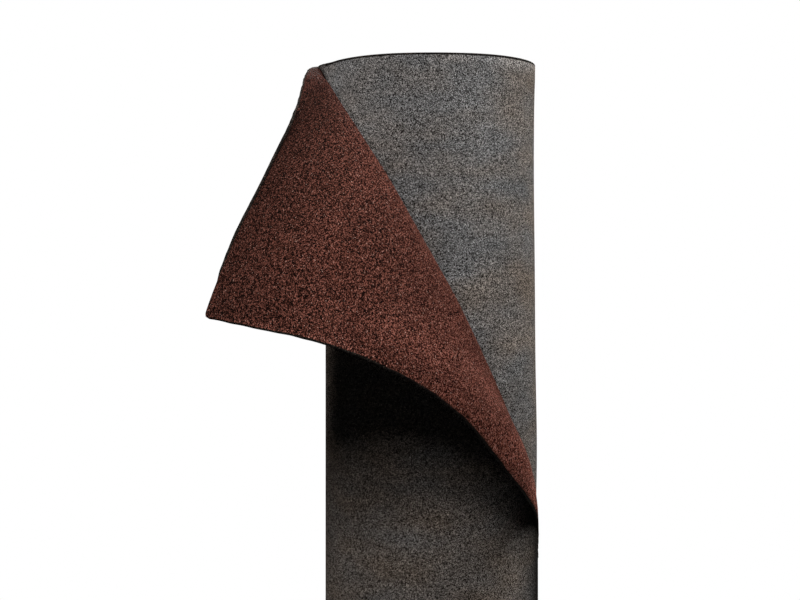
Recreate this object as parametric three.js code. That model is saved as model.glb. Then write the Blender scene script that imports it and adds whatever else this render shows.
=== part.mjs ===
// A roll of mineral-faced roofing felt stood on its end, with the top corner of its outer
// turn peeled away from the roll and folded down over the front.
// Units are millimetres and +Z is up. The origin is on the floor, at the middle of the box
// round the whole roll. The roll's axis is parallel to Z, and the folded corner is to the -Y.
import * as THREE from "three";

// ---- driving dimensions: the wound roll -------------------------------------------------
const ROLL_RADIUS = 100; // to the outside of the felt at its free end
const FELT_WIDTH = 1000; // the height of the roll on its end
const FELT_THICKNESS = 2.5;
const WINDING_GAP = 0.15; // air wound in between two turns
const TURNS = 23;
const FREE_END_ANGLE = 5; // degrees round from +X at which the outer turn ends
const SEAM_WIDTH = 0.7; // the gap between two turns, opened out at the ends of the roll
const SEAM_DEPTH = 0.9;

// ---- driving dimensions: the peeled corner ----------------------------------------------
const PEEL_ARC = 3.65 * ROLL_RADIUS; // length of the top edge that has come away from the roll
const PEEL_DROP = 4.68 * ROLL_RADIUS; // length of the free end that has come away, from the top down
const PEEL_BOW = 0.23 * ROLL_RADIUS; // how far the line of parting bows out towards the corner
const PEEL_SKEW = 0.13 * ROLL_RADIUS; // how much more it bows near the top edge than near the free end
const TIP_STANDOFF = 1.64 * ROLL_RADIUS; // the tip of the corner from the roll's side
const TIP_BEARING = 224.2; // degrees round from +X to the tip
const TIP_DROP = 2.31 * ROLL_RADIUS; // the tip of the corner below the top of the roll
const TIP_HEADING = 58.5; // degrees: plan direction in which the top edge leaves the tip
const TIP_RISE = 63.5; // degrees: the top edge's climb there
const TIP_ROLL = -173; // degrees: turn of the free end's edge about the top edge, from level
// The felt's course from the roll to the tip, as shares of its length. Each list goes from
// the top edge to the free end's edge.
const LIFT = [0.38, 0.19, 0.17, 0.16, 0.03]; // how far it keeps to its old course as it parts
const FALL = [0.44, 0.76, 0.53, 0.33, 0.37]; // how far out it settles into the way to the tip
const SWELL = [-0.22, -0.02, 0, 0.14, 0.17]; // how far the bend between them swells outwards

// ---- fineness of the model --------------------------------------------------------------
const PEEL_COLUMNS = 40; // facets round the peeled part of the outer turn
const BACK_COLUMNS = 70; // facets round the rest of it
const FLAP_ROWS = 20; // facets from the roll to the tip
const BORE_SIDES = 72;
const SEAM_SIDES = 34; // facets in a turn of the seam, at the outside of the roll

const RAD = Math.PI / 180;
const TURN = 2 * Math.PI;
const UP = new THREE.Vector3(0, 0, 1);
const PITCH = FELT_THICKNESS + WINDING_GAP; // radius gained by each turn
const START = FREE_END_ANGLE * RAD;

// ---- the spiral -------------------------------------------------------------------------
// Angles are followed inwards from the free end, clockwise from above, and called phi.
const radiusAt = (phi) => ROLL_RADIUS - (PITCH * phi) / TURN;

const onRoll = (radius, phi, z) =>
  new THREE.Vector3(radius * Math.cos(START - phi), radius * Math.sin(START - phi), z);

// ---- the course of the peeled corner ----------------------------------------------------
const polar = (radius, degrees, z) =>
  new THREE.Vector3(radius * Math.cos(degrees * RAD), radius * Math.sin(degrees * RAD), z);

const TIP = polar(ROLL_RADIUS + TIP_STANDOFF, TIP_BEARING, FELT_WIDTH - TIP_DROP);
const TOP_EDGE_WAY = polar(Math.cos(TIP_RISE * RAD), TIP_HEADING, Math.sin(TIP_RISE * RAD));
const END_EDGE_WAY = polar(1, TIP_HEADING + 90, 0).applyAxisAngle(TOP_EDGE_WAY, TIP_ROLL * RAD);

// The smooth curve through evenly spaced values, at u from 0 to 1.
function through(values, u) {
  const last = values.length - 1;
  let sum = 0;
  for (let i = 0; i <= last; i += 1) {
    let weight = 1;
    for (let k = 0; k <= last; k += 1) {
      if (k !== i) weight *= (u * last - k) / (i - k);
    }
    sum += values[i] * weight;
  }
  return sum;
}

// Where strand u of the flap parts from the roll: arc is the felt's length from the free
// end, and drop is the depth below the top edge. Strand 0 is the top edge of the felt and
// strand 1 is the edge of its free end.
function parting(u) {
  const bow = 4 * PEEL_BOW * u * (1 - u);
  const skew = 10.4 * PEEL_SKEW * u * (1 - u) * (1 - 2 * u);
  const span = Math.hypot(PEEL_ARC, PEEL_DROP);
  const out = (bow + skew) / span;
  return { arc: PEEL_ARC * (1 - u) - PEEL_DROP * out, drop: PEEL_DROP * u - PEEL_ARC * out };
}

// The five control points of a strand, in the middle of the felt's thickness. It leaves the
// roll along the felt's own lie and reaches the tip in the plane of the flat corner there.
function strand(u) {
  const { arc, drop } = parting(u);
  const length = Math.hypot(arc, drop);
  const phi = arc / ROLL_RADIUS;
  const root = onRoll(radiusAt(phi) - FELT_THICKNESS / 2, phi, FELT_WIDTH - drop);
  const outward = onRoll(1, phi, 0);
  const course = UP.clone()
    .cross(outward)
    .multiplyScalar(arc / length)
    .addScaledVector(UP, drop / length);
  const way = TOP_EDGE_WAY.clone()
    .multiplyScalar(arc / length)
    .addScaledVector(END_EDGE_WAY, drop / length);
  const lifted = root.clone().addScaledVector(course, length * through(LIFT, u));
  const falling = TIP.clone().addScaledVector(way, length * through(FALL, u));
  const bend = lifted
    .clone()
    .lerp(falling, 0.5)
    .addScaledVector(outward, length * through(SWELL, u));
  return [root, lifted, bend, falling, TIP];
}

// A point of the flap: u picks the strand, and v runs along it from the roll to the tip.
function flapPoint(u, v) {
  const w = 1 - v;
  const weights = [w ** 4, 4 * w ** 3 * v, 6 * w ** 2 * v ** 2, 4 * w * v ** 3, v ** 4];
  const point = new THREE.Vector3();
  strand(u).forEach((control, i) => point.addScaledVector(control, weights[i]));
  return point;
}

// The way the back of the felt faces: outwards on the roll, and down under the flap.
function flapNormal(u, v) {
  if (v === 1) return TOP_EDGE_WAY.clone().cross(END_EDGE_WAY);
  const step = 1e-4;
  const [u0, u1] = [Math.max(0, u - step), Math.min(1, u + step)];
  const across = flapPoint(u1, v).sub(flapPoint(u0, v));
  const along = flapPoint(u, v + step).sub(flapPoint(u, v));
  return across.cross(along).normalize();
}

// ---- one closed mesh --------------------------------------------------------------------
const points = [];
const faces = [];
const vertex = (point) => points.push(point) - 1;
function triangle(a, b, c) {
  if (a !== b && b !== c && c !== a) faces.push([a, b, c]);
}
function quad(a, b, c, d) {
  triangle(a, b, c);
  triangle(a, c, d);
}

// The columns of the outer turn, from the free end inwards: first those whose top has peeled
// away, each carrying on as a strand of the flap, then the rest of the turn.
const columns = [];
for (let i = 0; i <= PEEL_COLUMNS; i += 1) {
  const u = 1 - i / PEEL_COLUMNS;
  const { arc, drop } = parting(u);
  columns.push({ u, phi: arc / ROLL_RADIUS, top: FELT_WIDTH - drop });
}
const peelEnd = columns[PEEL_COLUMNS].phi;
for (let i = 1; i <= BACK_COLUMNS; i += 1) {
  columns.push({ phi: peelEnd + ((TURN - peelEnd) * i) / BACK_COLUMNS, top: FELT_WIDTH });
}
const peeled = columns.slice(0, PEEL_COLUMNS + 1);
const first = columns[0];
const last = columns[columns.length - 1];

// The back of the outer turn, up to where it parts or to the top of the roll.
for (const column of columns) {
  column.foot = vertex(onRoll(radiusAt(column.phi), column.phi, 0));
  column.head = vertex(onRoll(radiusAt(column.phi), column.phi, column.top));
}
for (let i = 1; i < columns.length; i += 1) {
  const [near, far] = [columns[i - 1], columns[i]];
  quad(far.foot, near.foot, near.head, far.head);
}

// The turn below it, bare above the line of parting. The last column, a full turn in from
// the free end, is where that turn comes out from under the felt.
for (const column of peeled) {
  column.bare = vertex(onRoll(radiusAt(column.phi + TURN), column.phi, column.top));
}
first.rim = last.head;
for (const column of peeled.slice(1, -1)) {
  column.rim = vertex(onRoll(radiusAt(column.phi + TURN), column.phi, FELT_WIDTH));
}
peeled[PEEL_COLUMNS].rim = peeled[PEEL_COLUMNS].bare;
for (let i = 1; i <= PEEL_COLUMNS; i += 1) {
  const [near, far] = [peeled[i - 1], peeled[i]];
  quad(far.bare, near.bare, near.rim, far.rim);
}

// The cut end of the felt, from the floor up to where the free end parts.
triangle(first.foot, last.foot, first.head);
triangle(last.foot, first.bare, first.head);
triangle(last.foot, last.head, first.bare);

// The flap: its back and its face, closed by the felt's two cut edges.
function flapSide(side, rootName) {
  const offset = (side * FELT_THICKNESS) / 2;
  const place = (u, v) => vertex(flapPoint(u, v).addScaledVector(flapNormal(u, v), offset));
  const tip = place(0, 1);
  return peeled.map((column) => {
    const row = [column[rootName]];
    for (let j = 1; j < FLAP_ROWS; j += 1) row.push(place(column.u, j / FLAP_ROWS));
    return row.concat(tip);
  });
}
const back = flapSide(1, "head");
const face = flapSide(-1, "bare");
for (let j = 0; j < FLAP_ROWS; j += 1) {
  for (let i = 1; i <= PEEL_COLUMNS; i += 1) {
    quad(back[i][j], back[i - 1][j], back[i - 1][j + 1], back[i][j + 1]);
    quad(face[i - 1][j], face[i][j], face[i][j + 1], face[i - 1][j + 1]);
  }
  const [endBack, endFace] = [back[0], face[0]];
  quad(endBack[j], endFace[j], endFace[j + 1], endBack[j + 1]);
  const [topBack, topFace] = [back[PEEL_COLUMNS], face[PEEL_COLUMNS]];
  quad(topFace[j], topBack[j], topBack[j + 1], topFace[j + 1]);
}

// The bore: the inside of the innermost turn, with a step where the felt begins.
const bore = { low: [], high: [] };
for (let i = 0; i <= BORE_SIDES; i += 1) {
  const phi = TURN * (TURNS - 1 + i / BORE_SIDES);
  bore.low.push(vertex(onRoll(radiusAt(phi + TURN), phi, 0)));
  bore.high.push(vertex(onRoll(radiusAt(phi + TURN), phi, FELT_WIDTH)));
}
for (let i = 0; i <= BORE_SIDES; i += 1) {
  const k = (i + 1) % (BORE_SIDES + 1);
  quad(bore.low[i], bore.low[k], bore.high[k], bore.high[i]);
}

// The seam between the turns: a spiral groove in an end of the roll, from an angle inwards.
// side is 1 at the top and -1 at the bottom. It returns the groove's outline in the end.
function seam(from, z, side) {
  const lip = [];
  const root = [];
  const inside = [];
  const to = TURN * (TURNS - 1) - 0.1;
  let phi = from;
  while (phi < to) {
    const radius = radiusAt(phi + TURN);
    lip.push(vertex(onRoll(radius + SEAM_WIDTH / 2, phi, z)));
    root.push(vertex(onRoll(radius, phi, z - side * SEAM_DEPTH)));
    inside.push(vertex(onRoll(radius - SEAM_WIDTH / 2, phi, z)));
    phi += (TURN / SEAM_SIDES) * Math.sqrt(ROLL_RADIUS / radius);
  }
  const wall = (a, b, c) => (side > 0 ? triangle(a, c, b) : triangle(a, b, c));
  const end = lip.length - 1;
  for (let k = 0; k < end; k += 1) {
    wall(lip[k], root[k + 1], root[k]);
    wall(lip[k], lip[k + 1], root[k + 1]);
    wall(root[k], inside[k + 1], inside[k]);
    wall(root[k], root[k + 1], inside[k + 1]);
  }
  wall(lip[0], root[0], inside[0]);
  wall(lip[end], inside[end], root[end]);
  return lip.concat(inside.reverse());
}

// A flat end of the roll inside a ring of vertices, with holes for the bore and the seam.
function endOfRoll(ring, holes, up) {
  const flat = (list) => list.map((i) => new THREE.Vector2(points[i].x, points[i].y));
  const all = ring.concat(...holes);
  for (const corners of THREE.ShapeUtils.triangulateShape(flat(ring), holes.map(flat))) {
    const [a, b, c] = corners.map((i) => all[i]);
    const [p, q, r] = flat([a, b, c]);
    const facesUp = q.sub(p).cross(r.sub(p)) > 0;
    if (facesUp === up) triangle(a, b, c);
    else triangle(a, c, b);
  }
}
const SEAM_START = 0.05; // radians in from the outline
const footRing = columns.map((column) => column.foot);
const rimRing = peeled.map((column) => column.rim);
const headRing = columns.slice(PEEL_COLUMNS, -1).map((column) => column.head);
endOfRoll(footRing, [bore.low, seam(SEAM_START, 0, -1)], false);
endOfRoll(
  rimRing.concat(headRing),
  [bore.high, seam(peelEnd + SEAM_START, FELT_WIDTH, 1)],
  true,
);

// ---- the part, with the origin under the middle of its box ------------------------------
const middle = new THREE.Box3().setFromPoints(points).getCenter(new THREE.Vector3());
const coordinates = points.flatMap((p) => [p.x - middle.x, p.y - middle.y, p.z]);
const geometry = new THREE.BufferGeometry();
geometry.setAttribute("position", new THREE.Float32BufferAttribute(coordinates, 3));
geometry.setIndex(faces.flat());
geometry.computeVertexNormals();

const material = new THREE.MeshStandardMaterial({ color: 0x55504c, roughness: 0.95, metalness: 0 });
const felt = new THREE.Mesh(geometry, material);
felt.name = "felt_roll";

const roll = new THREE.Group();
roll.name = "roll_of_roofing_felt";
roll.add(felt);

export default roll;
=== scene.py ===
"""The looks of a roll of mineral-faced roofing felt, stood on its end.

One welded surface stands for the CAD roll. It follows the same spiral and the same peeled
corner, and adds the turns in both ends, the cut edges and the felt's small waves. All lengths
are in metres. Points are worked out about the roll's axis, and moved to where it stands in the
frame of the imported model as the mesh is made: +Z is up and the floor is at z = 0.
"""

import math

import bpy
import numpy as np
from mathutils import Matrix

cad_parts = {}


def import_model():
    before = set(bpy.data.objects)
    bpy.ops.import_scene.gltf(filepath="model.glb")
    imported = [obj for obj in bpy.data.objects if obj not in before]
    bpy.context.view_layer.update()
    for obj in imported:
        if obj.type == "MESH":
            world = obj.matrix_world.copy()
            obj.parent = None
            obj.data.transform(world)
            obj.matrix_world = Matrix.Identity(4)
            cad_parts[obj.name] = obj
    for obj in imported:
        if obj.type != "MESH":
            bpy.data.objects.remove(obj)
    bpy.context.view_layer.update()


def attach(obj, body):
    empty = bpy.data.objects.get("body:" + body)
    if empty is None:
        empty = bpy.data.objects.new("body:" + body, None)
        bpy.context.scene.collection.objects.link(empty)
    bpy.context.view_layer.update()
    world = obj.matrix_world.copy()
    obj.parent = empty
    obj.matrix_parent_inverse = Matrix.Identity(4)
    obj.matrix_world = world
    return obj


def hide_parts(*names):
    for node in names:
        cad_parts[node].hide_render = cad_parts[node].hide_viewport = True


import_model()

# ---- the wound roll ---------------------------------------------------------------------
AXIS = np.array([0.04474244, 0.05274262, 0.0])  # where the roll's axis meets the floor
ROLL_RADIUS = 0.100  # to the outside of the felt at its free end
WIDTH = 1.000  # of the felt, which is the height of the roll on its end
THICKNESS = 0.0025
PITCH = 0.00265  # radius gained by each turn
TURNS = 23
START = math.radians(5)  # angle round from +X at which the outer turn ends
TURN = 2 * math.pi

# ---- the peeled corner ------------------------------------------------------------------
PEEL_ARC = 0.365  # length of the top edge that has come away from the roll
PEEL_DROP = 0.468  # length of the free end that has come away
PEEL_BOW = 0.023  # how far the line of parting bows out towards the corner
PEEL_SKEW = 0.013  # how much more it bows near the top edge than near the free end
TIP_STANDOFF = 0.164  # the tip of the corner from the roll's side
TIP_BEARING = 224.2  # degrees round from +X to the tip
TIP_DROP = 0.231  # the tip of the corner below the top of the roll
TIP_HEADING = 58.5  # degrees: plan direction in which the top edge leaves the tip
TIP_RISE = 63.5  # degrees: the top edge's climb there
TIP_ROLL = -173  # degrees: turn of the free end's edge about the top edge, from level
TIP_ROUND, TIP_ROUND_REACH = 0.0016, 0.0024  # how far the tip is rounded off, and over what
UP = np.array([0.0, 0.0, 1.0])

# Each strand of the flap, by share of its length, from the felt's top edge to its free end.
LIFT = (0.38, 0.19, 0.17, 0.16, 0.03)  # how far it keeps to its old course as it parts
FALL = (0.44, 0.76, 0.53, 0.33, 0.37)  # how far out it settles into the way to the tip
SWELL = (-0.22, -0.02, 0, 0.14, 0.17)  # how far the bend between them swells outwards

# Bell curves that finish the flap's shape: height in metres, place and spread.
FOLD_BELLS = (
    (-0.0028, 0.07, 0.05),
    (0.0024, 0.25, 0.10),
    (0.0013, 0.47, 0.14),
    (0.0040, 0.74, 0.10),
    (0.0014, 0.955, 0.035),
    (0.0007, 1.0, 0.04),
)
EDGE_BELLS = (
    (-0.0024, 0.268, 0.044),
    (0.0113, 0.453, 0.137),
    (-0.0077, 0.418, 0.241),
    (0.0027, 0.917, 0.065),
)
LOW_END_OUT = 0.0118  # how far the flap's lower end stands out

# ---- waves, wander and slack ------------------------------------------------------------
WAVE_HEIGHT = 0.0006
# Rows of share of that height, felt to the radian along and up it, and start in radians.
WAVES = ((0.55, 0.021, 0.047, 0.6), (0.45, -0.063, 0.018, 2.1), (0.35, 0.0115, 0.0115, 4.0))
WANDER = 0.00014  # height of each fine wave of a cut edge
WANDER_WAVES = ((61, 1.0), (109, 2.4), (197, 0.7))  # radians from roll to corner, and start
# Bell curves up the turn below the flap: height in metres, place and spread.
SLACK_BELLS = ((0.0016, 0.2, 0.15), (-0.0012, 0.8, 0.2))

# The turns that spring out at the top of the roll.
SPRUNG_OUT = 0.0102  # how far the second turn does
SPRUNG_AT = 3.14  # radians in from the free end to the middle of the bulge
SPRUNG_SPREAD = 0.13  # radians
SPRUNG_TURNS = 6  # over which it dies away inwards
SPRUNG_SINK = 0.08  # a rim that leans out sinks by the square of its lean over this


def polar(radius, degrees, z):
    """The point at that radius and bearing from the roll's axis, and that height."""
    angle = math.radians(degrees)
    return np.array([radius * math.cos(angle), radius * math.sin(angle), z])


def heading(bearing, rise):
    """The unit way at that bearing, in degrees round from +X, and that rise above level."""
    return polar(math.cos(math.radians(rise)), bearing, math.sin(math.radians(rise)))


def turned(vector, axis, degrees):
    """The vector turned about a unit axis."""
    angle = math.radians(degrees)
    along = axis * (axis @ vector) * (1 - math.cos(angle))
    return vector * math.cos(angle) + np.cross(axis, vector) * math.sin(angle) + along


TIP = polar(ROLL_RADIUS + TIP_STANDOFF, TIP_BEARING, WIDTH - TIP_DROP)
TOP_EDGE_WAY = heading(TIP_HEADING, TIP_RISE)
END_EDGE_WAY = turned(heading(TIP_HEADING + 90, 0), TOP_EDGE_WAY, TIP_ROLL)
TIP_NORMAL = np.cross(TOP_EDGE_WAY, END_EDGE_WAY)
LOW_END_WAY = heading(266.4, 6.5)  # to the front, in which the flap's lower end stands out

# ---- fineness ---------------------------------------------------------------------------
PEEL_COLUMNS = 92  # round the peeled part of a turn
REST_COLUMNS = 68  # round the rest of it
LOW_ROWS = 40  # up the roll as far as the free end keeps to it
HIGH_ROWS = 36  # from there to the top
FLAP_ROWS = 150
BORE_ROWS = 24

# The cut edge of the felt, from its back to its face: how far through the thickness, as a
# share of the pitch, and how far short of the very edge.
EDGE_ACROSS = np.array([0.0, 0.13, 0.26, 0.74, 0.87, 1.0])
EDGE_SHORT = np.array([0.0016, 0.00035, 0.0, 0.0, 0.00035, 0.0016])
EDGE_DEPTH = EDGE_SHORT[0]
GAP_WANDER = 0.09  # most that each side of a gap in the ends widens it, in pitches
TURN_WANDER = 0.0008  # most that the turns stand short of the very end
GAP_DEPTH = 3  # depth that a gap gains, as a multiple of how far it opens

BACK, FACE, CUT = range(3)  # the material slots of the surface


# ---- the spiral and the flap ------------------------------------------------------------
def radius_at(phi):
    """Radius of the felt's back, phi radians in from the free end, clockwise from above."""
    return ROLL_RADIUS - PITCH * phi / TURN


def on_roll(radius, phi, z):
    """Points at that radius from the roll's axis, phi in from the free end, at height z."""
    radius, phi, z = np.broadcast_arrays(radius, phi, z)
    angle = START - phi
    return np.stack([radius * np.cos(angle), radius * np.sin(angle), z], axis=-1)


def through(values, u):
    """The smooth curve through evenly spaced values, at u from 0 to 1."""
    last = len(values) - 1
    total = np.zeros_like(u)
    for i, value in enumerate(values):
        weight = np.full_like(u, value)
        for k in range(last + 1):
            if k != i:
                weight = weight * (u * last - k) / (i - k)
        total += weight
    return total


def parting(u):
    """Where strand u of the flap leaves the roll: arc in from the free end, drop from the top.

    A straight line from the top edge (u = 0) to the free end (u = 1), bowed outwards by a
    parabola and a cubic. The factors 4 and 10.4 bring the height of each to 1.
    """
    bow = 4 * PEEL_BOW * u * (1 - u) + 10.4 * PEEL_SKEW * u * (1 - u) * (1 - 2 * u)
    out = bow / math.hypot(PEEL_ARC, PEEL_DROP)
    return PEEL_ARC * (1 - u) - PEEL_DROP * out, PEEL_DROP * u - PEEL_ARC * out


def strand_points(u, v):
    """The middle of the felt's thickness over the flap, on matching arrays u and v.

    Each strand u is a quartic Bezier curve in v. It leaves the roll along the felt's own lie
    and comes to the felt's corner in the plane that the corner lies in.
    """
    arc, drop = parting(u)
    length = np.hypot(arc, drop)
    phi = arc / ROLL_RADIUS
    root = on_roll(radius_at(phi) - THICKNESS / 2, phi, WIDTH - drop)
    outward = on_roll(np.ones_like(phi), phi, 0 * phi)
    round_way = np.cross(UP, outward)
    part = (arc / length)[..., None]
    rest = (drop / length)[..., None]
    reach = length[..., None]
    lifted = root + (round_way * part + UP * rest) * reach * through(LIFT, u)[..., None]
    way = TOP_EDGE_WAY * part + END_EDGE_WAY * rest
    falling = TIP + way * reach * through(FALL, u)[..., None]
    bend = (lifted + falling) / 2 + outward * reach * through(SWELL, u)[..., None]
    t = v[..., None]
    s = 1 - t
    return (
        s**4 * root
        + 4 * s**3 * t * lifted
        + 6 * s**2 * t**2 * bend
        + 4 * s * t**3 * falling
        + t**4 * TIP
    )


def smooth_step(x):
    """0 below 0, 1 above 1 and an S-curve between."""
    x = np.clip(x, 0, 1)
    return x * x * (3 - 2 * x)


def frame_on(surface, u, v):
    """Unit normal on the back's side and unit way towards the free end, on a surface."""
    step = 2e-4
    v = np.minimum(v, 1 - 4 * step)
    low, high = np.clip(u - step, 0, 1), np.clip(u + step, 0, 1)
    across = surface(high, v) - surface(low, v)
    along = surface(u, v + step) - surface(u, np.maximum(v - step, 0))
    normal = np.cross(across, along)
    normal /= np.linalg.norm(normal, axis=-1, keepdims=True)
    outward = np.cross(along, normal)
    outward /= np.linalg.norm(outward, axis=-1, keepdims=True)
    return normal, outward


def felt_waves(u, v):
    """Height of the felt's small waves over the flap: three crossing sine waves, fading out
    towards the roll and towards the corner."""
    arc, drop = parting(u)
    s = arc * (1 - v)
    h = drop * (1 - v)
    waves = sum(
        share * np.sin(s / along + h / up + start) for share, along, up, start in WAVES
    )
    return WAVE_HEIGHT * waves * smooth_step(v / 0.3) * smooth_step((1 - v) / 0.05)


def bells(x, table):
    """The sum of bell curves in x. table is rows of height, place and spread."""
    return sum(high * np.exp(-(((x - place) / wide) ** 2)) for high, place, wide in table)


def fold_shift(u, v):
    """How far the bend of the flap is pressed in towards its back: bells in u times one
    bell in v, at the bend."""
    pressed = bells(u, FOLD_BELLS)
    return pressed * np.exp(-(((v - 0.24) / 0.15) ** 2)) * smooth_step(v / 0.08)


def edge_wander(u, v):
    """How far the felt reaches out past the smooth course of its two cut edges.

    The free end's edge has four broad bumps in v, and both edges have a fine wander of three
    sine waves. Each dies away inwards from its edge as a bell curve in u.
    """
    broad = bells(v, EDGE_BELLS)
    fine = WANDER * sum(np.sin(rate * v + start) for rate, start in WANDER_WAVES)
    held = smooth_step(v / 0.05) * smooth_step((1 - v) / 0.04)
    at_end = np.exp(-(((1 - u) / 0.13) ** 2)) * broad + np.exp(-(((1 - u) / 0.03) ** 2)) * fine
    at_top = -np.exp(-((u / 0.03) ** 2)) * fine
    return (at_end + at_top) * held


def stand_out(u, v):
    """How far the lower end of the flap stands out to the front, beside the free end's edge:
    a square law in u over the last of the strands, times a bell in v that is brought to
    nothing at the roll and at the corner."""
    near_edge = np.clip((u - 0.86) / 0.14, 0, 1) ** 2
    bell = np.exp(-(((v - 0.40) / 0.2) ** 2)) * smooth_step((v - 0.17) / 0.15)
    return LOW_END_OUT * near_edge * bell * smooth_step((1 - v) / 0.2)


def flap_points(u, v):
    """The flap's middle surface: the strands with the felt's waves, the bend's shifts, the
    lower end's stand to the front, the wandering edges and a rounded corner."""
    points = strand_points(u, v)
    normal, outward = frame_on(strand_points, u, v)
    points = points + normal * (felt_waves(u, v) + fold_shift(u, v))[..., None]
    points = points + LOW_END_WAY * stand_out(u, v)[..., None]
    points = points + outward * edge_wander(u, v)[..., None]
    inwards = TOP_EDGE_WAY + END_EDGE_WAY
    inwards = inwards / np.linalg.norm(inwards)
    distance = np.linalg.norm(points - TIP, axis=-1)
    round_off = TIP_ROUND * np.exp(-((distance / TIP_ROUND_REACH) ** 2))
    return points + inwards * round_off[..., None]


def sprung(phi):
    """How far the turns spring out at the top of the roll, on the side that the flap leaves.

    phi goes on from turn to turn. The lift is a bell curve round the roll that ends where the
    flap starts. The outer turn has none of it, and the turns inside share it less and less.
    """
    angle = phi % TURN
    share = np.clip(1 - (phi - TURN - SPRUNG_AT) / (SPRUNG_TURNS * TURN), 0, 1) ** 2
    ends = smooth_step((PEEL_ARC / ROLL_RADIUS - angle) / 0.15)
    bulge = np.exp(-(((angle - SPRUNG_AT) / SPRUNG_SPREAD) ** 2))
    return np.where(phi < TURN, 0.0, SPRUNG_OUT * bulge * ends * share)


def slack(share, away):
    """How loose the turn below the flap is: out at a fifth of the way up from the line of
    parting and in near the top. It fades out both ways round from the free end, by the
    angle away from it."""
    loose = bells(share, SLACK_BELLS)
    loose = loose * smooth_step(share / 0.08) * smooth_step((1 - share) / 0.08)
    return loose * (1 - smooth_step((away - 0.3) / 1.3))


# ---- the welded surface -----------------------------------------------------------------
class Shell:
    """Patches of one closed surface, to be welded where their borders coincide."""

    def __init__(self):
        self.points, self.maps, self.corners, self.slots = [], [], [], []
        self.count = 0

    def add(self, points, maps, corners, slot):
        """Takes points (n x 3), their place on the felt (n x 2) and faces of 4 corners."""
        self.points.append(points)
        self.maps.append(maps)
        self.corners.append(corners + self.count)
        self.slots.append(np.full(len(corners), slot))
        self.count += len(points)

    def grid(self, points, maps, slot, flip=False):
        """A patch of rows x columns points. Its front is columns' way x rows' way."""
        rows, columns = points.shape[:2]
        index = np.arange(rows * columns).reshape(rows, columns)
        a, b = index[:-1, :-1].ravel(), index[:-1, 1:].ravel()
        c, d = index[1:, 1:].ravel(), index[1:, :-1].ravel()
        corners = np.stack([a, d, c, b] if flip else [a, b, c, d], axis=1)
        self.add(points.reshape(-1, 3), maps.reshape(-1, 2), corners, slot)

    def strip(self, left, right, maps_left, maps_right, slot):
        """A strip of triangles between two lines of points that run side by side, upwards.

        The heights of both lines, in order, say which line moves on at each step.
        """
        order = np.argsort(np.concatenate([left[1:, 2], right[1:, 2]]), kind="stable")
        on_left = order < len(left) - 1
        i = np.cumsum(on_left) - on_left
        k = np.cumsum(~on_left) - ~on_left + len(left)
        moved = np.where(on_left, i, k) + 1
        corners = np.stack([i, k, moved, moved], axis=1)
        points = np.concatenate([left, right])
        self.add(points, np.concatenate([maps_left, maps_right]), corners, slot)

    def mesh(self, name):
        """Welds the patches and returns the Blender mesh, with its map in metres of felt."""
        points = np.concatenate(self.points)
        maps = np.concatenate(self.maps)
        corners = np.concatenate(self.corners)
        slots = np.concatenate(self.slots)
        _, first, weld = np.unique(
            np.round(points, 7), axis=0, return_index=True, return_inverse=True
        )
        weld = weld.ravel()
        welded = weld[corners]
        # A face keeps each corner that differs from the one before it.
        keep = welded != np.roll(welded, 1, axis=1)
        whole = keep.sum(axis=1) > 2
        corners, welded, keep, slots = corners[whole], welded[whole], keep[whole], slots[whole]
        totals = keep.sum(axis=1)
        loop_vertices = welded[keep]
        loop_maps = maps[corners[keep]]
        mesh = bpy.data.meshes.new(name)
        mesh.vertices.add(len(first))
        mesh.vertices.foreach_set("co", (points[first] + AXIS).ravel())
        mesh.loops.add(len(loop_vertices))
        mesh.loops.foreach_set("vertex_index", loop_vertices)
        mesh.polygons.add(len(totals))
        mesh.polygons.foreach_set("loop_start", np.concatenate([[0], np.cumsum(totals)[:-1]]))
        mesh.polygons.foreach_set("material_index", slots)
        mesh.update(calc_edges=True)
        layer = mesh.uv_layers.new(name="felt")
        layer.data.foreach_set("uv", loop_maps.ravel())
        mesh.validate()
        mesh.shade_smooth()
        mesh.set_sharp_from_angle(angle=math.radians(38))
        return mesh


shell = Shell()
u_line = np.linspace(1, 0, PEEL_COLUMNS + 1)
arc_line, drop_line = parting(u_line)
peel_phi = arc_line / ROLL_RADIUS
peel_end = peel_phi[-1]
rest_phi = np.linspace(peel_end, TURN, REST_COLUMNS + 1)
turn_phi = np.concatenate([peel_phi, rest_phi[1:]])


def felt_map(arc, z):
    """Place on the felt of points at that length in from the free end and that height."""
    return np.stack(np.broadcast_arrays(arc, z), axis=-1)


# The back of the outer turn: up to where it parts, or to just short of the top edge.
bottom, top = EDGE_DEPTH, WIDTH - EDGE_DEPTH
parts_at = WIDTH - PEEL_DROP
outer_top = np.full_like(turn_phi, top)
outer_top[: PEEL_COLUMNS + 1] = np.minimum(WIDTH - drop_line, top)
low_rise = np.linspace(0, 1, LOW_ROWS + 1) * (parts_at - bottom)
high_rise = parts_at - bottom + np.linspace(0, 1, HIGH_ROWS + 1)[1:] * (top - parts_at)
rise = np.concatenate([low_rise, high_rise]) / (top - bottom)
outer_z = bottom + rise[:, None] * (outer_top - bottom)
outer_phi = np.broadcast_to(turn_phi, outer_z.shape).copy()
outer_phi[:, 0] = EDGE_DEPTH / ROLL_RADIUS
bare_share = np.maximum(0, rise[:, None] - rise[LOW_ROWS]) / (1 - rise[LOW_ROWS])
round_back = np.where(turn_phi > peel_end, slack(bare_share, TURN - turn_phi), 0.0)
outer_back = on_roll(radius_at(turn_phi) + round_back, outer_phi, outer_z)
shell.grid(outer_back, felt_map(outer_phi * ROLL_RADIUS, outer_z), BACK, flip=True)

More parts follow.
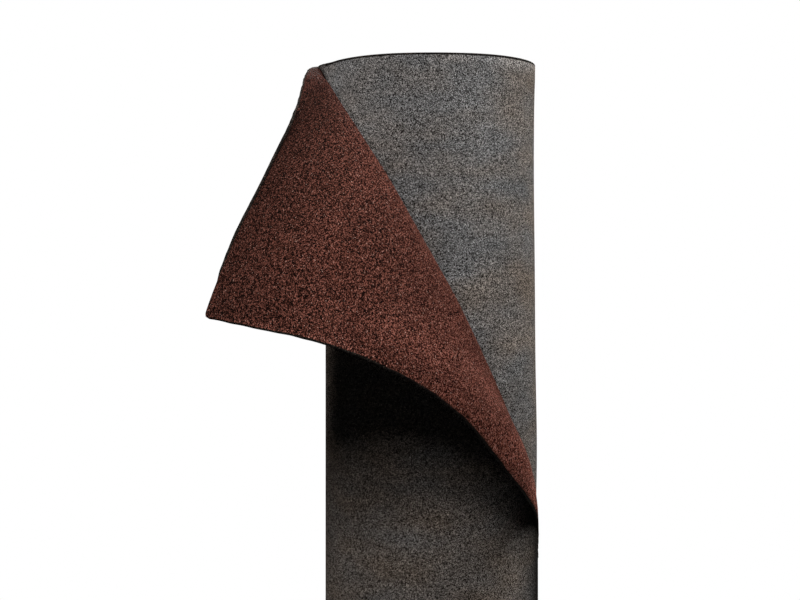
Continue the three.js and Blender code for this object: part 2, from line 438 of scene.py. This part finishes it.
# The turn below it, bare above the line of parting.
bare_share = bare_share[LOW_ROWS:]
bare_low = np.minimum(WIDTH - drop_line, top)
lean = sprung(peel_phi + TURN) * bare_share**3
bare_z = bare_low + bare_share * (top - bare_low) - lean**2 / SPRUNG_SINK
bare_radius = radius_at(peel_phi + TURN) + lean + slack(bare_share, peel_phi)
bare = on_roll(bare_radius, peel_phi, bare_z)
shell.grid(bare, felt_map((peel_phi + TURN) * ROLL_RADIUS, bare_z), BACK, flip=True)

# The flap, with rows from the roll to the corner, closer together towards the corner.
v_line = 1 - (1 - np.linspace(0, 1, FLAP_ROWS + 1)) ** 1.3
u_grid, v_grid = np.meshgrid(u_line, v_line)
middle = flap_points(u_grid, v_grid)
normal, outward = frame_on(flap_points, u_grid, v_grid)
normal[-1] = TIP_NORMAL
back = middle + normal * THICKNESS / 2
face = middle - normal * THICKNESS / 2
steps = np.linalg.norm(np.diff(middle, axis=0), axis=-1)
run = np.concatenate([np.zeros((1, PEEL_COLUMNS + 1)), np.cumsum(steps, axis=0)])
left_over = 1 - run / run[-1]  # share of each strand between the point and the corner
flap_map = felt_map(arc_line * left_over, WIDTH - drop_line * left_over)
ease = smooth_step(np.linalg.norm(middle - middle[-1], axis=-1) / 0.004)


def edge_strip(column, side):
    """The cut edge along the flap's first or last column: rows x points across the felt."""
    across = (0.5 - EDGE_ACROSS)[:, None] * THICKNESS
    strip = middle[:, column, None] + normal[:, column, None] * across
    short = ease[:, column, None, None] * EDGE_SHORT[:, None]
    return strip - side * outward[:, column, None] * short


end_edge = edge_strip(0, 1)
wall_short = np.where(EDGE_ACROSS < 0.5, EDGE_SHORT, 0)
end_edge[0] = on_roll(ROLL_RADIUS - EDGE_ACROSS * PITCH, wall_short / ROLL_RADIUS, parts_at)
top_edge = edge_strip(-1, -1)
top_edge[0] = on_roll(
    radius_at(peel_end) - EDGE_ACROSS * PITCH, peel_end, WIDTH - EDGE_SHORT
)
back[0] = outer_back[-1, : PEEL_COLUMNS + 1]
face[0] = bare[0]
for surface, station in ((back, 0), (face, -1)):
    surface[:, 0] = end_edge[:, station]
    surface[:, -1] = top_edge[:, station]
shell.grid(back, flap_map, BACK, flip=True)
shell.grid(face, flap_map, FACE)
shell.grid(end_edge, felt_map(EDGE_ACROSS * PITCH, v_line[:, None]), CUT)
shell.grid(top_edge, felt_map(EDGE_ACROSS * PITCH, v_line[:, None]), CUT, flip=True)

# The cut edge of the free end, where it still lies on the roll.
left_z = outer_z[:, 0]
right_z = outer_z[: LOW_ROWS + 1, -1]
left = on_roll(
    ROLL_RADIUS - EDGE_ACROSS[:3] * PITCH, wall_short[:3] / ROLL_RADIUS, left_z[:, None]
)
right = on_roll(ROLL_RADIUS - EDGE_ACROSS[3:] * PITCH, 0.0, right_z[:, None])
left[0, :, 2] = EDGE_SHORT[:3]
right[0, :, 2] = EDGE_SHORT[3:]
left_map = felt_map(EDGE_ACROSS[:3] * PITCH, left_z[:, None])
right_map = felt_map(EDGE_ACROSS[3:] * PITCH, right_z[:, None])
shell.grid(left, left_map, CUT)
shell.grid(right, right_map, CUT)
shell.strip(left[:, -1], right[:, 0], left_map[:, -1], right_map[:, 0], CUT)


def end_of_roll(first_turn, side):
    """The felt's edge wound into an end of the roll: points across x points round.

    Across each turn the edge rises out of the gap at its back, runs level and drops into the
    gap at its face. Its height and the gap's width wander a little as it winds inwards, as
    sums of sine waves. side is 1 for the top and -1 for the foot.
    """
    phi = np.concatenate([first_turn] + [turn_phi[1:] + TURN * k for k in range(1, TURNS)])
    wander = (
        0.5
        + 0.2 * np.sin(phi * 0.83 + side)
        + 0.16 * np.sin(phi * 2.31 + 2.0 * side)
        + 0.14 * np.sin(phi * 5.77)
    )
    loose = 0.5 + 0.3 * np.sin(phi * 1.37 + 1.1 * side) + 0.2 * np.sin(phi * 3.91 + 0.4)
    inside = np.minimum(1, np.minimum(phi - phi[0], phi[-1] - phi) / 0.3)
    across = np.repeat(EDGE_ACROSS[:, None], len(phi), axis=1)
    across[1:3] += GAP_WANDER * loose * inside
    across[3:5] -= GAP_WANDER * loose * inside
    short = np.repeat(EDGE_SHORT[:, None], len(phi), axis=1)
    short[1:5] += TURN_WANDER * wander * inside
    lift = np.repeat(sprung(phi)[None, :], len(EDGE_ACROSS), axis=0)
    lift[-1] = sprung(phi + TURN)
    if side > 0:
        opened_out = sprung(phi - TURN) - sprung(phi)
        opened_in = sprung(phi) - sprung(phi + TURN)
        short[0] += GAP_DEPTH * np.where(phi > 2 * TURN, opened_out, 0)
        short[-1] += GAP_DEPTH * np.where(phi > TURN, opened_in, 0)
        short += lift**2 / SPRUNG_SINK
    z = WIDTH - short if side > 0 else short
    phi_grid = np.broadcast_to(phi, z.shape).copy()
    if side < 0:
        phi_grid[:, 0] = wall_short / ROLL_RADIUS
        lift = 0 * lift
    points = on_roll(radius_at(phi) + lift - across * PITCH, phi_grid, z)
    shell.grid(points, felt_map(phi_grid * ROLL_RADIUS, across * PITCH), CUT, flip=side > 0)


end_of_roll(rest_phi, 1)
end_of_roll(turn_phi, -1)

# The bore: the face of the innermost turn, and the cut edge where the felt begins.
bore_phi = turn_phi + TURN * (TURNS - 1)
bore_z = np.broadcast_to(
    np.linspace(bottom, top, BORE_ROWS + 1)[:, None], (BORE_ROWS + 1, len(bore_phi))
)
bore = on_roll(radius_at(bore_phi + TURN), bore_phi, bore_z)
shell.grid(bore, felt_map(bore_phi * ROLL_RADIUS, bore_z), FACE)
begin_z = np.repeat(bore_z[:, :1], len(EDGE_ACROSS), axis=1)
begin_z[0] = EDGE_SHORT
begin_z[-1] = WIDTH - EDGE_SHORT
begin = on_roll(radius_at(TURN * TURNS) - EDGE_ACROSS * PITCH, TURN * TURNS, begin_z)
shell.grid(begin, felt_map(EDGE_ACROSS * PITCH, begin_z), CUT, flip=True)


# ---- materials --------------------------------------------------------------------------
class Finish:
    """A material whose nodes are put together by calls."""

    def __init__(self, name):
        self.material = bpy.data.materials.new(name)
        self.material.use_nodes = True
        self.tree = self.material.node_tree
        self.tree.nodes.clear()

    def node(self, kind, inputs=(), **settings):
        """A new node. inputs is pairs of socket name or number, and value or output."""
        made = self.tree.nodes.new("ShaderNode" + kind)
        for key, value in settings.items():
            setattr(made, key, value)
        for key, value in inputs:
            if isinstance(value, bpy.types.NodeSocket):
                self.tree.links.new(value, made.inputs[key])
            else:
                made.inputs[key].default_value = value
        return made

    def math(self, operation, *values):
        """The output of a sum on numbers or outputs."""
        return self.node("Math", enumerate(values), operation=operation).outputs[0]

    def ramp(self, factor, stops):
        """Colours by factor. stops is pairs of place and colour."""
        made = self.node("ValToRGB", [("Fac", factor)])
        ramp = made.color_ramp
        for place, _ in stops[2:]:
            ramp.elements.new(place)
        for element, (place, colour) in zip(ramp.elements, stops):
            element.position = place
            element.color = (*colour, 1.0)
        return made.outputs["Color"]

    def mix(self, blend, factor, a, b):
        """Two colours mixed. Sockets 0, 6 and 7 are the factor and the colours."""
        made = self.node("Mix", data_type="RGBA", blend_type=blend)
        for socket, value in zip([0, 6, 7], [factor, a, b]):
            if isinstance(value, bpy.types.NodeSocket):
                self.tree.links.new(value, made.inputs[socket])
            else:
                made.inputs[socket].default_value = value
        return made.outputs[2]

    def parts(self, vector):
        """The first two numbers of a place."""
        made = self.node("SeparateXYZ", [("Vector", vector)])
        return made.outputs[0], made.outputs[1]

    def fade(self, value, start, end):
        """From one level to another, as value goes from one place to another.

        start and end are each a place and its level. Sockets 1 to 4 are both places, then
        both levels.
        """
        return self.node(
            "MapRange",
            [("Value", value), (1, start[0]), (2, end[0]), (3, start[1]), (4, end[1])],
        ).outputs[0]

    def shaded(self, colour, level):
        """The colour times a level."""
        grey = self.node("CombineColor", [(0, level), (1, level), (2, level)]).outputs[0]
        return self.mix("MULTIPLY", 1.0, colour, grey)

    def noise(self, vector, stretch, detail=2.0):
        """Noise from 0 to 1 at stretch (x, y) cells to the metre of felt."""
        mapping = self.node("Mapping", [("Vector", vector), ("Scale", (*stretch, 1.0))])
        made = self.node(
            "TexNoise",
            [("Vector", mapping.outputs[0]), ("Scale", 1.0), ("Detail", detail)],
            noise_dimensions="2D",
        )
        return made.outputs["Fac"]

    def cells(self, vector, per_metre, **settings):
        """Random cells, so many to the metre, each about one grain."""
        return self.node(
            "TexVoronoi",
            [("Vector", vector), ("Scale", per_metre), ("Randomness", 1.0)],
            **settings,
        ).outputs

    def grains(self, vector, per_metre):
        """Grains on the felt: two random numbers of each, and its height, 1 at its middle."""
        cell = self.cells(vector, per_metre, voronoi_dimensions="2D")
        numbers = self.node("SeparateColor", [("Color", cell["Color"])]).outputs
        return numbers[0], numbers[1], self.math("SUBTRACT", 1.0, cell["Distance"])

    def rims(self, vector, per_metre):
        """Distance from the rims of the same grains, in cells."""
        settings = {"voronoi_dimensions": "2D", "feature": "DISTANCE_TO_EDGE"}
        return self.cells(vector, per_metre, **settings)["Distance"]

    def finish(self, colour, height, depth, shine):
        """Ends in a matt surface of that colour. Height, from 0 to 1, stands out by depth."""
        bump = self.node(
            "Bump", [("Height", height), ("Distance", depth), ("Strength", 1.0)]
        )
        surface = self.node(
            "BsdfPrincipled",
            [("Base Color", colour), ("Roughness", 0.9), ("Diffuse Roughness", 1.0),
             ("Specular IOR Level", shine), ("Normal", bump.outputs[0])],
        )
        output = self.node("OutputMaterial", [("Surface", surface.outputs[0])])
        output.is_active_output = True
        return self.material


def felt_place(finish):
    """The felt's own map, in metres along and up it."""
    return finish.node("UVMap", uv_map="felt").outputs[0]


FACE_GRAINS, BACK_GRAINS, CUT_GRAINS = 1500.0, 1650.0, 1100.0  # to the metre


def mineral_face():
    """Dark red-brown slate granules pressed into bitumen, with painted shade that darkens it
    towards the top edge and painted light that makes it paler towards the free end."""
    f = Finish("mineral_face")
    place = felt_place(f)
    pick, size, dome = f.grains(place, FACE_GRAINS)
    colour = f.ramp(
        pick,
        [(0.0, (0.001, 0.0, 0.0)), (0.35, (0.005, 0.0015, 0.001)),
         (0.6, (0.049, 0.0162, 0.0113)), (0.85, (0.152, 0.0548, 0.0408)),
         (0.985, (0.216, 0.092, 0.073)), (1.0, (0.34, 0.22, 0.19))],
    )
    drift = f.noise(place, (18.0, 18.0), detail=3.0)
    shade = f.math("MULTIPLY_ADD", drift, 0.3, 1.04)
    along, up = f.parts(place)
    # Painted light and shade: paler near the free end, darker further in.
    shade = f.math("MULTIPLY", shade, f.fade(along, (0.03, 1.25), (0.30, 0.45)))
    # Painted shade: darker towards the felt's top edge and the corner.
    shade = f.math("MULTIPLY", shade, f.fade(up, (0.91, 1.0), (0.99, 0.46)))
    # Painted light, palest where the free end starts to peel. Dark in the gaps between
    # granules.
    painted_light_near_low_end = f.math("MULTIPLY_ADD", up, 0.2, f.math("ADD", along, -0.124))
    shade = f.math("MULTIPLY", shade, f.fade(painted_light_near_low_end, (0.0, 3.2), (0.05, 1.0)))
    gap = f.fade(f.rims(place, FACE_GRAINS), (0.0, 0.3), (0.16, 1.0))
    colour = f.shaded(colour, f.math("MULTIPLY", shade, gap))
    height = f.math("MULTIPLY", dome, f.math("MULTIPLY_ADD", size, 0.7, 0.3))
    return f.finish(colour, height, 0.0005, 0.018)


def sanded_back():
    """Grey sand dusted on bitumen, a little streaked round the roll and worn in patches, with
    painted shade along the free end.
    """
    f = Finish("sanded_back")
    place = felt_place(f)
    pick, size, dome = f.grains(place, BACK_GRAINS)
    colour = f.ramp(
        pick,
        [(0.0, (0.002, 0.002, 0.002)), (0.25, (0.022, 0.021, 0.020)),
         (0.5, (0.094, 0.092, 0.090)), (0.8, (0.205, 0.200, 0.196)),
         (0.985, (0.360, 0.350, 0.340)), (1.0, (0.55, 0.53, 0.51))],
    )
    streak = f.noise(place, (14.0, 330.0), detail=2.0)
    patch = f.noise(place, (16.0, 22.0), detail=4.0)
    shade = f.math(
        "MULTIPLY_ADD", streak, 0.48, f.math("MULTIPLY_ADD", patch, 0.42, 0.61)
    )
    # Painted shade, darker along the free end.
    along, up = f.parts(place)
    shade = f.math("MULTIPLY", shade, f.fade(along, (0.036, 0.12), (0.085, 1.0)))
    # The very top edge is bare bitumen, over a wider strip on the flap.
    strip = f.fade(along, (0.40, 0.0065), (0.50, 0.0030))
    short = f.math("DIVIDE", f.math("SUBTRACT", 1.0, up), strip)
    shade = f.math("MULTIPLY", shade, f.fade(short, (0.75, 0.03), (1.0, 1.0)))
    colour = f.shaded(colour, shade)
    # Browner in clouds, in one band round the roll and over the outer turn.
    cloud = f.math("MULTIPLY_ADD", f.noise(place, (15.0, 32.0), detail=1.5), 1.5, -0.75)
    band = f.math("ABSOLUTE", f.math("SUBTRACT", up, 0.775))
    brown = f.math("ADD", cloud, f.fade(band, (0.0, 0.4), (0.045, 0.0)))
    brown = f.math("ADD", brown, f.fade(along, (0.655, 0.62), (0.745, 0.2)))
    tint = f.ramp(brown, [(0.0, (0.94, 1.0, 1.07)), (1.0, (1.11, 0.985, 0.88))])
    colour = f.mix("MULTIPLY", 1.0, colour, tint)
    height = f.math("MULTIPLY", dome, f.math("MULTIPLY_ADD", size, 0.6, 0.4))
    return f.finish(colour, height, 0.0003, 0.0)


def cut_edge():
    """Cut bitumen felt: nearly black, with a few grains and fibres showing."""
    f = Finish("cut_edge")
    place = f.node("TexCoord").outputs["Object"]
    speck = f.cells(place, CUT_GRAINS, voronoi_dimensions="3D")
    pick = f.node("SeparateColor", [("Color", speck["Color"])]).outputs[0]
    colour = f.ramp(
        pick,
        [(0.0, (0.004, 0.004, 0.004)), (0.7, (0.010, 0.009, 0.008)),
         (0.93, (0.030, 0.025, 0.022)), (1.0, (0.08, 0.06, 0.05))],
    )
    height = f.math("SUBTRACT", 1.0, speck["Distance"])
    return f.finish(colour, height, 0.0004, 0.03)


felt = bpy.data.objects.new("felt", shell.mesh("felt"))
bpy.context.scene.collection.objects.link(felt)
for make in (sanded_back, mineral_face, cut_edge):
    felt.data.materials.append(make())
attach(felt, "root")
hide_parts("felt_roll")


# ---- floor, light and camera ------------------------------------------------------------
FLOOR_HALF, FLOOR_BACK = 1.5, 1.7  # from the middle to its sides and front, and to its back
FLOOR_SEEN = (0.55, 0.55, 0.55, 1.0)
FLOOR_LIT = (0.05, 0.05, 0.05, 1.0)  # to light alone, so that it throws little back up
LAMP_AIM = np.array([0.04, 0.04, 0.75])  # near the axis, three quarters of the way up
LAMP_DISTANCE, LAMP_SIZE = 1.3, 0.4
WORLD_LEVEL = 0.002  # of the even light, where 1 shows a white surface as white
CAMERA_PLACE = (0.01574, -1.42726, 0.8085)
LENS, SENSOR = 71.1, 36.0  # millimetres
SHIFT_UP = -0.0375  # of the frame, as a share of its width


def in_view(tree):
    """1 on what the camera sees, straight or in metal or glass, and 0 on what only lights."""
    path = tree.nodes.new("ShaderNodeLightPath")
    seen = path.outputs["Is Camera Ray"]
    for ray in ("Is Glossy Ray", "Is Transmission Ray"):
        either = tree.nodes.new("ShaderNodeMath")
        either.operation = "MAXIMUM"
        tree.links.new(seen, either.inputs[0])
        tree.links.new(path.outputs[ray], either.inputs[1])
        seen = either.outputs[0]
    return seen


def floor():
    """A pale matt square of floor under the roll, which throws little light back up."""
    half, back = FLOOR_HALF, FLOOR_BACK
    ring = [(-half, -half, 0), (half, -half, 0), (half, back, 0), (-half, back, 0)]
    mesh = bpy.data.meshes.new("floor")
    mesh.from_pydata(ring, [], [(0, 1, 2, 3)])
    made = bpy.data.objects.new("floor", mesh)
    bpy.context.scene.collection.objects.link(made)
    f = Finish("floor")
    colour = f.mix("MIX", in_view(f.tree), FLOOR_LIT, FLOOR_SEEN)
    surface = f.node("BsdfDiffuse", [("Color", colour)])
    f.node("OutputMaterial", [("Surface", surface.outputs[0])])
    made.data.materials.append(f.material)


def lamp(name, bearing, height, level, colour):
    """A soft round lamp that faces the roll at three quarters of its height.

    bearing and height are angles in degrees, from the front round to the right and up from
    level. At level 1 the lamp alone shows a white surface that faces it as white.
    """
    data = bpy.data.lights.new(name, "AREA")
    data.shape = "DISK"
    data.size = LAMP_SIZE
    data.energy = level * (math.pi * LAMP_DISTANCE) ** 2
    data.color = colour
    made = bpy.data.objects.new(name, data)
    bpy.context.scene.collection.objects.link(made)
    made.location = LAMP_AIM + LAMP_DISTANCE * heading(bearing - 90, height)
    made.rotation_euler = (math.radians(90 - height), 0.0, math.radians(bearing))


def world():
    """White in view, and a low even light on everything else."""
    made = bpy.data.worlds.new("studio")
    bpy.context.scene.world = made
    made.use_nodes = True
    tree = made.node_tree
    tree.nodes.clear()
    seen = tree.nodes.new("ShaderNodeBackground")
    seen.inputs["Color"].default_value = (1, 1, 1, 1)
    lit = tree.nodes.new("ShaderNodeBackground")
    lit.inputs["Color"].default_value = (1, 1, 1, 1)
    lit.inputs["Strength"].default_value = WORLD_LEVEL
    mix = tree.nodes.new("ShaderNodeMixShader")
    output = tree.nodes.new("ShaderNodeOutputWorld")
    tree.links.new(in_view(tree), mix.inputs[0])
    tree.links.new(lit.outputs[0], mix.inputs[1])
    tree.links.new(seen.outputs[0], mix.inputs[2])
    tree.links.new(mix.outputs[0], output.inputs[0])


floor()
lamp("front", -10, 50, 0.74, (1.0, 0.96, 0.93))
lamp("left", -30, 36, 0.38, (1.0, 0.90, 0.82))
lamp("right", 76, 70, 3.4, (1.0, 0.95, 0.90))
lamp("back", 165, 35, 0.8, (1.0, 0.97, 0.94))
world()

camera_data = bpy.data.cameras.new("camera")
camera_data.sensor_width = SENSOR
camera_data.lens = LENS
camera_data.shift_y = SHIFT_UP
camera = bpy.data.objects.new("camera", camera_data)
camera.location = CAMERA_PLACE
camera.rotation_euler = (math.pi / 2, 0.0, 0.0)
bpy.context.scene.collection.objects.link(camera)
bpy.context.scene.camera = camera
bpy.context.scene.view_settings.view_transform = "Standard"
